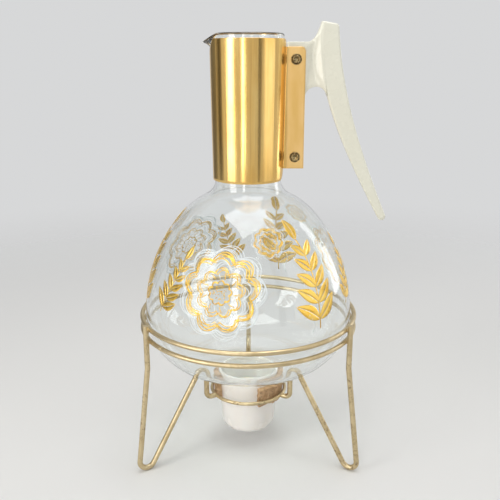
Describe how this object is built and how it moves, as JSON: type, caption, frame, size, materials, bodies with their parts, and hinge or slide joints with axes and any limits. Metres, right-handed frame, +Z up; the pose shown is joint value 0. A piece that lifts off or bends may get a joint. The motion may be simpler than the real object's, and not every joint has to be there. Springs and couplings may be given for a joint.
{
  "type": "glass coffee carafe with candle warmer stand",
  "caption": "Glass carafe with metal neck collar and moulded handle, in a wire stand with a candle cup in a cork sleeve.",
  "frame": {"origin": "centre of the whole set's bounding box, on the surface that the wire feet stand on", "axes": "+Z up along the carafe, +X towards the handle, -X towards the pouring lip, +Y towards the rear leg"},
  "size_m": [0.1757, 0.1696, 0.308],
  "materials": {
    "brass_wire": "dull brass plate, tarnished",
    "clear_glass": "clear blown glass, fire polished",
    "liner": "thin felted liner strip",
    "gold_band": "gold anodised, fine vertical brushing",
    "ivory_plastic": "moulded, semi-gloss, slightly yellowed",
    "screw_brass": "aged brass plate",
    "milk_glass": "opaque white pressed glass",
    "cork": "brown granular cork, torn edges",
    "wax": "translucent candle wax",
    "wick": "braided cotton, waxed",
    "tin": "thin stamped sheet",
    "gold_print": "burnished gold, screen printed on the glass",
    "white_print": "white enamel, screen printed on the glass"
  },
  "bodies": {
    "stand": {"upper_ring": "brass_wire", "lower_ring": "brass_wire", "candle_ring": "brass_wire", "leg_rear": "brass_wire", "leg_front_left": "brass_wire", "leg_front_right": "brass_wire"},
    "carafe": {"glass_bowl": "clear_glass", "glass_shoulder": "clear_glass", "glass_neck": "clear_glass", "neck_liner": "liner", "collar_band": "gold_band", "handle": "ivory_plastic", "upper_screw": "screw_brass", "lower_screw": "screw_brass", "upper_cup_washer": "screw_brass", "lower_cup_washer": "screw_brass", "upper_nut": "screw_brass", "lower_nut": "screw_brass", "upper_flat_washer": "screw_brass", "lower_flat_washer": "screw_brass"},
    "candle_cup": {"candle_cup": "milk_glass", "cork_sleeve": "cork"},
    "candle": {"candle_wax": "wax", "candle_wick": "wick", "wick_sustainer": "tin"}
  },
  "joints": [
    {"name": "carafe_lift", "type": "slide", "parent": "stand", "child": "carafe", "axis": [0, 0, 1], "range_m": [0, 0.12]},
    {"name": "cup_lift", "type": "slide", "parent": "stand", "child": "candle_cup", "axis": [0, 0, 1], "range_m": [0, 0.0085]},
    {"name": "candle_lift", "type": "slide", "parent": "candle_cup", "child": "candle", "axis": [0, 0, 1], "range_m": [0, 0.014]}
  ]
}
